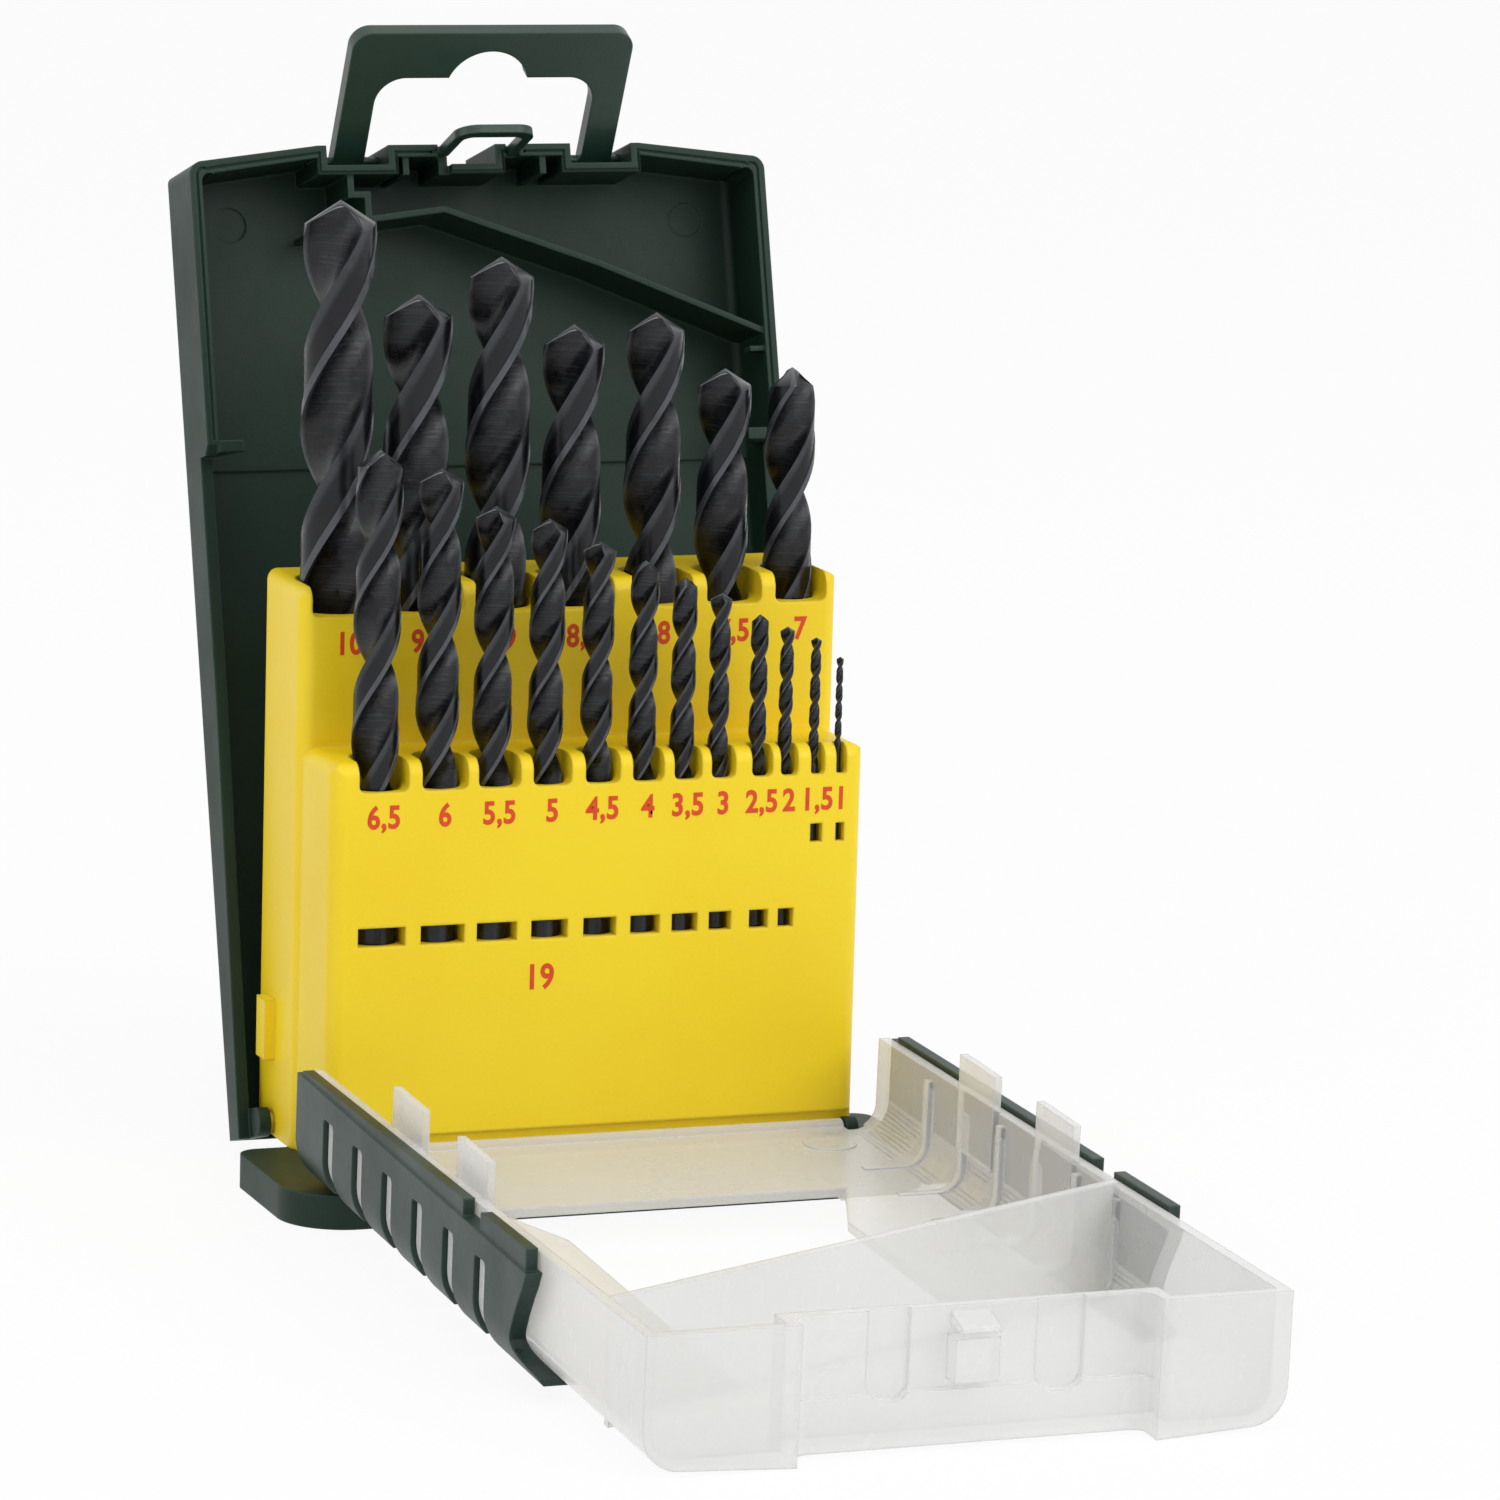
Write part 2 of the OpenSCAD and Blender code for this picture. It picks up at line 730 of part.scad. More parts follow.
module lid() {
    color(milky) opened_lid() difference() {
        union() {
            lid_shell();
            lid_barrel();
            lid_ribs();
            lid_tongues();
            lid_catch();
            lid_strips();
            // Round mark on the plate
            translate([round_boss[0], lid_plate - 0.5, round_boss[1]])
                rotate([-90, 0, 0]) cylinder(r = round_boss[2], h = round_boss[3]);
        }
        lid_window();
        both_sides() bar_x(stub_r + 0.07, stub_in - 0.6, bead_half + 1, lid_pivot);
        both_sides() block([bead_half + eps, -20, 0], [ear_out + ear_gap, -10, lid_start + 0.8]);
        // Two grooves down the end wall
        for (i = [0, 1]) in_xy(recess_top - drain_deep, lid_top + 1)
            round_rect([drain[i] - drain_half[i], drain_bottom], [drain[i] + drain_half[i], 10], 2.4);
    }
}

// ---- Grips

grip_out = 2.2;
grip_rear = 9.7;
face_edge = -2.1;
lip_x = [0.35, 1.9];
lip_up = 0.6;
lip_down = 2.6;
LIP_RUNS = [[grip_rear + 1.5, 79.6], [86.4, 104]];
// Curved front end of a grip, as [y, z]
GRIP_END = [[face_edge, 105], [-4.2, 103.9], [-6.2, 102.5], [-8.6, 101], [-10.8, 99.9], [-12.3, 99.4],
    [-13.3, 99.9], [-14, 101.4], [-14.5, 103.6], [-14.9, 107.5], [-20, 108]];

module grip() {
    half = 60;
    deep = 30;
    difference() {
        union() {
            intersection() {
                in_xy(0, 130) difference() {
                    lid_outside(grip_out);
                    lid_outside(0);
                    translate([-half, -deep]) square([half + lid_corner[0] + 0.4, 2 * deep]);
                    translate([-half, -deep]) square([2 * half, deep + lid_edge + 0.05]);
                }
                in_yz(deep, half) polygon(concat([[-20, grip_rear], [face_edge, grip_rear]], GRIP_END));
            }
            // Two lengths of raised lip along the rim
            for (run = LIP_RUNS) intersection() {
                block([case_half + lip_x[0], -10, run[0]], [case_half + lip_x[1], 10, run[1]]);
                difference() {
                    under_rim(lip_up, run[0], run[1]);
                    under_rim(-lip_down, run[0], run[1]);
                }
            }
        }
        for (i = [0:5]) {
            z = first_slot + i * slot_pitch;
            in_yz(deep, half) round_rect([-deep, z], [slot_top, z + slot_w], 0.8);
        }
    }
}

module grip_right() {
    color(dark_green) opened_lid() grip();
}

module grip_left() {
    color(dark_green) opened_lid() mirror([1, 0, 0]) grip();
}

// ---- Drill bits

// Section across one flute and its land, as angle and radius on a bit of radius 1
LAND = [[22, 0.5], [55, 0.27], [92, 0.52], [125, 0.94], [162, 1], [180, 1]];
section_n = 2 * len(LAND);

function section_ring(r, z, angle) = [
    for (half = [0, 180], p = LAND)
        [r * p[1] * cos(half + p[0] + angle), r * p[1] * sin(half + p[0] + angle), z]
];

// Two helical flutes with a cone point; they start half a millimetre inside the shank
module flutes(r, z0, z1) {
    point_h = r / tan(point_angle / 2);
    body = z1 - z0 - point_h;
    turn = body * tan(helix) / (PI * 2 * r) * 360;
    steps = ceil(turn / 30);
    rings = concat(
        [section_ring(r * 0.9, z0 - 0.5, 0)],
        [for (i = [0:steps]) section_ring(r, z0 + body * i / steps, turn * i / steps)],
        [section_ring(r * 0.05, z1, turn)]
    );
    last = len(rings) - 1;
    sides = [for (i = [0:last - 1], j = [0:section_n - 1], half = [0, 1])
        let (k = (j + 1) % section_n, low = i * section_n, high = low + section_n)
            half == 0 ? [low + j, high + j, high + k] : [low + j, high + k, low + k]];
    caps = [[for (j = [0:section_n - 1]) j], [for (j = [0:section_n - 1]) last * section_n + section_n - 1 - j]];
    polyhedron([for (ring = rings, p = ring) p], concat(sides, caps));
}

module drill_bit(b) {
    r = bit_d(b) / 2;
    length = b[2];
    shank = length - b[3];
    translate([bit_x(b), bit_y(b), bit_floor(b) + bit_rest_gap]) color(black_oxide) {
        cylinder(r = r, h = shank);
        flutes(r * 0.995, shank, length);
    }
}

base_foot();
bit_holder();
back_cover();
hanger();
latch_loop();
lid();
grip_left();
grip_right();
for (b = BITS) drill_bit(b);
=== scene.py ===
import math
import bpy
from mathutils import Matrix, Vector


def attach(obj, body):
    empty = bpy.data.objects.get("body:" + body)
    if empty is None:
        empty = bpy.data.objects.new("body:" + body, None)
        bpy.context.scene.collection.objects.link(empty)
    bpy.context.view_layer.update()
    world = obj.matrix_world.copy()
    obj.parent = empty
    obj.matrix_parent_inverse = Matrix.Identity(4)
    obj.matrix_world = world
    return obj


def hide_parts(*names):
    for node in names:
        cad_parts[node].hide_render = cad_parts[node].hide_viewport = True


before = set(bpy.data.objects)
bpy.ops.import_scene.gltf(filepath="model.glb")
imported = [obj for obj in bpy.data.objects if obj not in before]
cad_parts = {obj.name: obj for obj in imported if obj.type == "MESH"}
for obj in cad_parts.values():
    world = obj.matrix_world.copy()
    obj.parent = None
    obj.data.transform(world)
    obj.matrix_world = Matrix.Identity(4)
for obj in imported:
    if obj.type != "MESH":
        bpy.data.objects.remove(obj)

print("drill bit case: frame loaded")
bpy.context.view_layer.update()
mm = 0.001

# Camera, at the photograph's viewing angle: degrees, metres, and the lens in mm
shot = {
    "azimuth": -20.977,
    "elevation": 10.42,
    "roll": -1.626,
    "distance": 1.00826,
    "target": (0.027053, 0.0, 0.058099),
    "lens": 172.98,
    "sensor": 36,
    "clipStart": 0.05,
}


def aimCamera(shot):
    a, e, r = (math.radians(shot[k]) for k in ("azimuth", "elevation", "roll"))
    back = Vector((math.sin(a) * math.cos(e), -math.cos(a) * math.cos(e), math.sin(e)))
    right = Vector((math.cos(a), math.sin(a), 0))
    up = back.cross(right)
    rolledRight = right * math.cos(r) - up * math.sin(r)
    rolledUp = up * math.cos(r) + right * math.sin(r)
    camData = bpy.data.cameras.new("studioCamera")
    camData.lens = shot["lens"]
    camData.sensor_width = shot["sensor"]
    camData.clip_start = shot["clipStart"]
    cam = bpy.data.objects.new("studioCamera", camData)
    bpy.context.scene.collection.objects.link(cam)
    turn = Matrix((rolledRight, rolledUp, back)).transposed().to_4x4()
    cam.matrix_world = Matrix.Translation(Vector(shot["target"]) + back * shot["distance"]) @ turn
    bpy.context.scene.camera = cam


aimCamera(shot)

# Studio: pale floor and soft light, in metres and watts
studio = {
    "skyLight": 0.62,
    "floorWhite": (0.96, 0.96, 0.96, 1),
    "floorGlow": 0.91,
    "floorRadius": 3,
    "floorCorners": 64,
    "floorDrop": 0.0001,
    "lampTarget": (0, 0, 0.06),
    "lamps": [
        {"name": "keyLamp", "power": 5.5, "size": 0.9, "at": (0.75, -1.0, 0.75)},
        {"name": "topLamp", "power": 2.4, "size": 0.8, "at": (-0.15, -0.35, 1.1)},
        {"name": "sideLamp", "power": 1.2, "size": 0.7, "at": (-1.1, -0.2, 0.5)},
    ],
}


def mathNode(tree, operation, a, b, clamp=False):
    node = tree.nodes.new("ShaderNodeMath")
    node.operation = operation
    node.use_clamp = clamp
    for socket, value in zip(node.inputs, (a, b)):
        if isinstance(value, (int, float)):
            socket.default_value = value
        else:
            tree.links.new(value, socket)
    return node.outputs[0]


def seenDirectly(tree):
    path = tree.nodes.new("ShaderNodeLightPath")
    mirror, lens = path.outputs["Is Glossy Ray"], path.outputs["Is Transmission Ray"]
    mirrorOrLens = mathNode(tree, "MAXIMUM", mirror, lens)
    return mathNode(tree, "MAXIMUM", path.outputs["Is Camera Ray"], mirrorOrLens)


def buildStudio(studio):
    scene = bpy.context.scene
    scene.view_settings.view_transform = "Standard"
    world = bpy.data.worlds.new("studioWorld")
    scene.world = world
    world.use_nodes = True
    tree = world.node_tree
    background = tree.nodes["Background"]
    background.inputs["Color"].default_value = (1, 1, 1, 1)
    light = studio["skyLight"]
    lift = mathNode(tree, "MULTIPLY", seenDirectly(tree), 1 - light)
    tree.links.new(mathNode(tree, "ADD", lift, light), background.inputs["Strength"])

    floorMesh = bpy.data.meshes.new("studioFloor")
    radius, corners, drop = (studio[k] for k in ("floorRadius", "floorCorners", "floorDrop"))
    turns = [k * math.pi / (corners / 2) for k in range(corners)]
    ring = [(radius * math.cos(t), radius * math.sin(t), -drop) for t in turns]
    floorMesh.from_pydata(ring, [], [list(range(corners))])
    floor = bpy.data.objects.new("studioFloor", floorMesh)
    scene.collection.objects.link(floor)
    paper = bpy.data.materials.new("floorPaper")
    paper.use_nodes = True
    tree = paper.node_tree
    tree.nodes.clear()
    out = tree.nodes.new("ShaderNodeOutputMaterial")
    matt = tree.nodes.new("ShaderNodeBsdfDiffuse")
    matt.inputs["Color"].default_value = studio["floorWhite"]
    glow = tree.nodes.new("ShaderNodeEmission")
    glow.inputs["Strength"].default_value = 1
    mix = tree.nodes.new("ShaderNodeMixShader")
    shine = mathNode(tree, "MULTIPLY", seenDirectly(tree), studio["floorGlow"])
    tree.links.new(shine, mix.inputs[0])
    tree.links.new(matt.outputs[0], mix.inputs[1])
    tree.links.new(glow.outputs[0], mix.inputs[2])
    tree.links.new(mix.outputs[0], out.inputs["Surface"])
    floorMesh.materials.append(paper)

    for lamp in studio["lamps"]:
        data = bpy.data.lights.new(lamp["name"], "AREA")
        data.shape = "DISK"
        data.size = lamp["size"]
        data.energy = lamp["power"]
        obj = bpy.data.objects.new(lamp["name"], data)
        scene.collection.objects.link(obj)
        at = Vector(lamp["at"])
        obj.location = at
        obj.rotation_euler = (at - Vector(studio["lampTarget"])).to_track_quat("Z", "Y").to_euler()


buildStudio(studio)
print("studio ready")


# Shared surface effects, each a node group
def newGroup(name, inputs, outputs):
    group = bpy.data.node_groups.new(name, "ShaderNodeTree")
    for label, kind, value in inputs:
        socket = group.interface.new_socket(name=label, in_out="INPUT", socket_type=kind)
        socket.default_value = value
    for label, kind in outputs:
        group.interface.new_socket(name=label, in_out="OUTPUT", socket_type=kind)
    given = group.nodes.new("NodeGroupInput").outputs
    return group, given, group.nodes.new("NodeGroupOutput").inputs


def noiseNode(tree, scale, detail, roughness=0.5, vector=None):
    node = tree.nodes.new("ShaderNodeTexNoise")
    node.inputs["Detail"].default_value = detail
    node.inputs["Roughness"].default_value = roughness
    if isinstance(scale, (int, float)):
        node.inputs["Scale"].default_value = scale
    else:
        tree.links.new(scale, node.inputs["Scale"])
    if vector is None:
        vector = tree.nodes.new("ShaderNodeTexCoord").outputs["Object"]
    tree.links.new(vector, node.inputs["Vector"])
    return node.outputs["Fac"]


def spread(tree, value, low, high):
    node = tree.nodes.new("ShaderNodeMapRange")
    node.inputs["From Min"].default_value = low
    node.inputs["From Max"].default_value = high
    tree.links.new(value, node.inputs["Value"])
    return node.outputs["Result"]


# Soft moulded edges: a rounded normal, and a mask of where it turns
edgeForm = {"samples": 4, "flat": 0.995, "turned": 0.8}


def makeSoftEdge():
    group, given, result = newGroup(
        "softEdge",
        [("Radius", "NodeSocketFloat", 0.0004), ("Reach", "NodeSocketFloat", 1.0)],
        [("Normal", "NodeSocketVector"), ("Edge", "NodeSocketFloat")],
    )
    bevel = group.nodes.new("ShaderNodeBevel")
    bevel.samples = edgeForm["samples"]
    group.links.new(given["Radius"], bevel.inputs["Radius"])
    plain = group.nodes.new("ShaderNodeNewGeometry")
    dot = group.nodes.new("ShaderNodeVectorMath")
    dot.operation = "DOT_PRODUCT"
    group.links.new(bevel.outputs["Normal"], dot.inputs[0])
    group.links.new(plain.outputs["Normal"], dot.inputs[1])
    edge = spread(group, dot.outputs["Value"], edgeForm["flat"], edgeForm["turned"])
    group.links.new(mathNode(group, "MULTIPLY", edge, given["Reach"], True), result["Edge"])
    group.links.new(bevel.outputs["Normal"], result["Normal"])
    return group


# Fine grain of a moulded or ground surface, as a height
grainForm = {"detail": 3, "rough": 0.6, "waveScale": 90, "waveDetail": 2}


def makeGrain():
    group, given, result = newGroup(
        "mouldGrain",
        [("Scale", "NodeSocketFloat", 2500.0), ("Waves", "NodeSocketFloat", 0.3)],
        [("Height", "NodeSocketFloat")],
    )
    fine = noiseNode(group, given["Scale"], grainForm["detail"], grainForm["rough"])
    waves = noiseNode(group, grainForm["waveScale"], grainForm["waveDetail"])
    slow = mathNode(group, "MULTIPLY", waves, given["Waves"])
    group.links.new(mathNode(group, "ADD", fine, slow), result["Height"])
    return group


# Slow drift of a colour between two tones, with fine specks
driftForm = {
    "detail": 3, "slowShare": 0.75, "speckScale": 1800, "speckDetail": 2, "from": 0.36, "to": 0.64,
}


def makeDrift():
    group, given, result = newGroup(
        "colourDrift",
        [
            ("Light", "NodeSocketColor", (0.8, 0.8, 0.8, 1)),
            ("Dark", "NodeSocketColor", (0.6, 0.6, 0.6, 1)),
            ("Scale", "NodeSocketFloat", 45.0),
        ],
        [("Color", "NodeSocketColor")],
    )
    share = driftForm["slowShare"]
    slow = mathNode(group, "MULTIPLY", noiseNode(group, given["Scale"], driftForm["detail"]), share)
    specks = noiseNode(group, driftForm["speckScale"], driftForm["speckDetail"])
    both = mathNode(group, "ADD", slow, mathNode(group, "MULTIPLY", specks, 1 - share))
    mix = group.nodes.new("ShaderNodeMix")
    mix.data_type = "RGBA"
    fac = spread(group, both, driftForm["from"], driftForm["to"])
    group.links.new(fac, mix.inputs["Factor"])
    group.links.new(given["Light"], mix.inputs["A"])
    group.links.new(given["Dark"], mix.inputs["B"])
    group.links.new(mix.outputs["Result"], result["Color"])
    return group


# Handling: duller smudges and thin scuffs, as a roughness
handlingForm = {
    "smudge": {"scale": 60, "detail": 4, "rough": 0.6, "from": 0.35, "to": 0.7},
    "scuff": {"scale": 420, "detail": 2, "rough": 0.5, "from": 0.62, "to": 0.75},
    "scuffStretch": (1, 8, 0.6),
    "scuffTurn": (0.2, 0.4, 0.9),
}


def patches(tree, form, vector=None):
    noise = noiseNode(tree, form["scale"], form["detail"], form["rough"], vector)
    return spread(tree, noise, form["from"], form["to"])


def makeHandling():
    group, given, result = newGroup(
        "handling",
        [("Smooth", "NodeSocketFloat", 0.35), ("Dull", "NodeSocketFloat", 0.5)],
        [("Roughness", "NodeSocketFloat")],
    )
    smudge = patches(group, handlingForm["smudge"])
    stretch = group.nodes.new("ShaderNodeMapping")
    stretch.inputs["Scale"].default_value = handlingForm["scuffStretch"]
    stretch.inputs["Rotation"].default_value = handlingForm["scuffTurn"]
    objectSpace = group.nodes.new("ShaderNodeTexCoord")
    group.links.new(objectSpace.outputs["Object"], stretch.inputs["Vector"])
    scuff = patches(group, handlingForm["scuff"], stretch.outputs["Vector"])
    amount = mathNode(group, "MAXIMUM", smudge, scuff)
    room = mathNode(group, "SUBTRACT", given["Dull"], given["Smooth"])
    duller = mathNode(group, "MULTIPLY", amount, room)
    group.links.new(mathNode(group, "ADD", given["Smooth"], duller), result["Roughness"])
    return group


softEdge = makeSoftEdge()
mouldGrain = makeGrain()
colourDrift = makeDrift()
handling = makeHandling()


# Colour from the 0 to 255 steps of sRGB
def srgb(r, g, b):
    steps = (c / 255 for c in (r, g, b))
    linear = (((c + 0.055) / 1.055) ** 2.4 if c > 0.04045 else c / 12.92 for c in steps)
    return tuple(linear) + (1,)


def place(tree, group, values):
    node = tree.nodes.new("ShaderNodeGroup")
    node.node_tree = group
    for label, value in values.items():
        node.inputs[label].default_value = value
    return node.outputs


def mixColour(tree, fac, a, b):
    node = tree.nodes.new("ShaderNodeMix")
    node.data_type = "RGBA"
    for label, value in (("Factor", fac), ("A", a), ("B", b)):
        if isinstance(value, (int, float, tuple)):
            node.inputs[label].default_value = value
        else:
            tree.links.new(value, node.inputs[label])
    return node.outputs["Result"]


# Moulded plastic from a look: light and dark tone, an edge tone that paints a highlight on the
# rounded edges, gloss and grain
grainDepth = 0.00005


def mouldedPlastic(name, look):
    mat = bpy.data.materials.new(name)
    mat.use_nodes = True
    tree = mat.node_tree
    shader = tree.nodes["Principled BSDF"]
    tones = {"Light": look["light"], "Dark": look["dark"], "Scale": look["driftScale"]}
    drift = place(tree, colourDrift, tones)
    edge = place(tree, softEdge, {"Radius": look["edgeRadius"], "Reach": look["edgeReach"]})
    grain = place(tree, mouldGrain, {"Scale": look["grainScale"]})
    finish = place(tree, handling, {"Smooth": look["smooth"], "Dull": look["dull"]})
    # Painted highlight: the lighter edge tone is mixed in where the bevel mask finds a rounded edge
    colour = mixColour(tree, edge["Edge"], drift["Color"], look["edge"])
    tree.links.new(colour, shader.inputs["Base Color"])
    tree.links.new(finish["Roughness"], shader.inputs["Roughness"])
    bump = tree.nodes.new("ShaderNodeBump")
    bump.inputs["Strength"].default_value = look["grain"]
    bump.inputs["Distance"].default_value = grainDepth
    tree.links.new(grain["Height"], bump.inputs["Height"])
    tree.links.new(edge["Normal"], bump.inputs["Normal"])
    tree.links.new(bump.outputs["Normal"], shader.inputs["Normal"])
    shader.inputs["Specular IOR Level"].default_value = look["specular"]
    return mat, tree, shader, edge


def dress(nodeName, mat):
    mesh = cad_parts[nodeName].data
    mesh.materials.clear()
    mesh.materials.append(mat)


# Case parts: dark green foot and cover, yellow holder, lighter green bail, loop and grips; each
# lighter edge tone is a painted highlight on the rounded edges
coverLook = {
    "light": srgb(28, 50, 40), "dark": srgb(22, 42, 33), "edge": srgb(62, 93, 80),
    "driftScale": 40.0, "edgeRadius": 0.0005, "edgeReach": 0.7,
    "grainScale": 2600.0, "grain": 0.35, "smooth": 0.45, "dull": 0.55, "specular": 0.25,
}
holderLook = {
    "light": srgb(253, 222, 30), "dark": srgb(249, 214, 24), "edge": srgb(255, 235, 90),
    "driftScale": 30.0, "edgeRadius": 0.0006, "edgeReach": 0.5,
    "grainScale": 2200.0, "grain": 0.25, "smooth": 0.34, "dull": 0.46, "specular": 0.4,
}
rimLook = {
    "light": srgb(33, 58, 48), "dark": srgb(27, 50, 41), "edge": srgb(70, 102, 89),
    "driftScale": 60.0, "edgeRadius": 0.0004, "edgeReach": 0.8,
    "grainScale": 3000.0, "grain": 0.3, "smooth": 0.3, "dull": 0.42, "specular": 0.5,
}
gripLook = {
    "light": srgb(36, 57, 49), "dark": srgb(28, 47, 41), "edge": srgb(76, 102, 92),
    "driftScale": 70.0, "edgeRadius": 0.0004, "edgeReach": 0.6,
    "grainScale": 1500.0, "grain": 0.8, "smooth": 0.42, "dull": 0.55, "specular": 0.45,
}
coverPlastic = mouldedPlastic("coverPlastic", coverLook)[0]
holderPlastic = mouldedPlastic("holderPlastic", holderLook)[0]
rimPlastic = mouldedPlastic("rimPlastic", rimLook)[0]
gripPlastic = mouldedPlastic("gripPlastic", gripLook)[0]
for nodeName in ("base_foot", "back_cover"):
    dress(nodeName, coverPlastic)
dress("bit_holder", holderPlastic)
for nodeName in ("hanger", "latch_loop"):
    dress(nodeName, rimPlastic)
for nodeName in ("grip_left", "grip_right"):
    dress(nodeName, gripPlastic)

# Lid: milky plastic that light comes through, denser along its edges; its whiter edge tone is a
# painted highlight and its faint white emission (inner) a painted glow
lidLook = {
    "light": srgb(238, 238, 237), "dark": srgb(231, 231, 230), "edge": srgb(252, 252, 252),
    "driftScale": 35.0, "edgeRadius": 0.0005, "edgeReach": 0.9,
    "grainScale": 1800.0, "grain": 0.2, "smooth": 0.2, "dull": 0.32, "specular": 0.5,
    "body": 0.4, "slantBody": 0.78, "edgeBody": 0.92, "slantBlend": 0.35, "inner": 0.05,
}


def milkyPlastic(name, look):
    mat, tree, shader, edge = mouldedPlastic(name, look)
    slant = tree.nodes.new("ShaderNodeLayerWeight")
    slant.inputs["Blend"].default_value = look["slantBlend"]
    thicker = mathNode(tree, "MULTIPLY", slant.outputs["Facing"], look["slantBody"] - look["body"])
    alpha = mathNode(tree, "ADD", thicker, look["body"])
    edgeAlpha = mathNode(tree, "MULTIPLY", edge["Edge"], look["edgeBody"])
    tree.links.new(mathNode(tree, "MAXIMUM", alpha, edgeAlpha, True), shader.inputs["Alpha"])
    # Painted glow: a faint white emission lifts the lid's brightness, though it is no lamp
    shader.inputs["Emission Color"].default_value = (1, 1, 1, 1)
    shader.inputs["Emission Strength"].default_value = look["inner"]
    return mat


lidPlastic = milkyPlastic("lidPlastic", lidLook)
dress("lid", lidPlastic)
print("case parts finished")

# Twist drills, in mm and degrees: diameter, length, flute, x, pocket floor, turn of the point
drillSizes = {
    "drill_10": (10, 133, 87, -32.3, 2.2, 50),
    "drill_9_5": (9.5, 120, 81, -21.0, 2.2, 50),
    "drill_9": (9, 125, 81, -9.2, 2.2, 48),
    "drill_8_5": (8.5, 115.5, 75, 1.5, 2.2, 50),
    "drill_8": (8, 117, 75, 13.4, 2.2, 50),
    "drill_7_5": (7.5, 109, 69, 23.7, 2.2, 48),
    "drill_7": (7, 109, 69, 33.6, 2.2, 122),
    "drill_6_5": (6.5, 101, 63, -31.2, 2.2, 86),
    "drill_6": (6, 93, 57, -22.5, 7.5, 40),
    "drill_5_5": (5.5, 93, 57, -14.7, 2.2, 30),
    "drill_5": (5, 86, 52, -7.1, 7.3, 48),
    "drill_4_5": (4.5, 80, 47, 0.2, 10.0, 22),
    "drill_4": (4, 75, 43, 6.8, 12.2, 86),
    "drill_3_5": (3.5, 70, 39, 12.6, 14.7, 116),
    "drill_3": (3, 61, 33, 17.8, 21.4, 26),
    "drill_2_5": (2.5, 57, 30, 23.5, 22.3, 110),
    "drill_2": (2, 49, 24, 27.5, 28.5, 30),
    "drill_1_5": (1.5, 40, 18, 31.7, 35.9, 20),
    "drill_1": (1, 34, 12, 35.2, 39.1, 40),
}
drillForm = {
    "helix": 32,
    "pointHalf": 59,
    "relief": 10,
    "fluteSpan": 112,
    "marginSpan": 13,
    "clearance": 0.95,
    "webPull": ((0.30, 0.02), (-0.12, 0.18)),
    "fluteSteps": 14,
    "landSteps": 5,
    "marginSteps": 3,
    "marginGap": 0.03,
    "depthGain": 1.5,
    "heelHighlight": 0.55,
    "landHighlight": 0.45,
    "lipReach": 0.55,
    "ringStep": 11,
    "runOut": 1.3,
    "runOutRings": 3,
    "tailWidth": 0.9,
    "tailHeight": 0.12,
    "lipWidth": 0.2,
    "lipFullRadius": 3,
    "lipInner": 0.94,
    "tipDepth": 0.2,
    "tipGroundAndHighlight": 0.4,
    "tipLip": 0.3,
    "sharpFrom": 38,
    "restGap": 0.1,
    "highRowFrom": 6.6,
    "highFront": 1.3,
    "lowFront": -13.1,
}


# Half of the section, from one cutting edge to the next: x, y, depth, groundAndHighlightBand
# (strength of the lighter band, partly ground steel and partly painted highlight), relief angle,
# lip
def drillHalfSection(form):
    span = math.radians(form["fluteSpan"])
    clear = form["clearance"]
    start, end = Vector((1, 0)), Vector((clear * math.cos(span), clear * math.sin(span)))
    pullA, pullB = (Vector(p) for p in form["webPull"])
    points = []
    for k in range(form["fluteSteps"] + 1):
        t = k / form["fluteSteps"]
        u = 1 - t
        p = start * u ** 3 + pullA * 3 * u * u * t + pullB * 3 * u * t * t + end * t ** 3
        depth = min(1, form["depthGain"] * (1 - p.length))
        # Band value: full at the cutting edge, and a painted highlight of heelHighlight strength at
        # the heel
        shine = 1.0 if k == 0 else form["heelHighlight"] * (k == form["fluteSteps"])
        lip = 1.0 if t < form["lipReach"] else 0.0
        points.append((p.x, p.y, depth, shine, t * t * (math.pi - span), lip))
    marginStart = math.pi - math.radians(form["marginSpan"])
    for k in range(1, form["landSteps"] + 1):
        a = span + (marginStart - form["marginGap"] - span) * k / form["landSteps"]
        shine = form["landHighlight"] if k == 1 else 0
        points.append((clear * math.cos(a), clear * math.sin(a), 0, shine, math.pi - a, 0))
    # The outer land points carry the full band: partly ground steel, partly painted highlight
    for k in range(form["marginSteps"]):
        a = marginStart + (math.pi - marginStart) * k / form["marginSteps"]
        points.append((math.cos(a), math.sin(a), 0, 1, math.pi - a, 0))
    return points


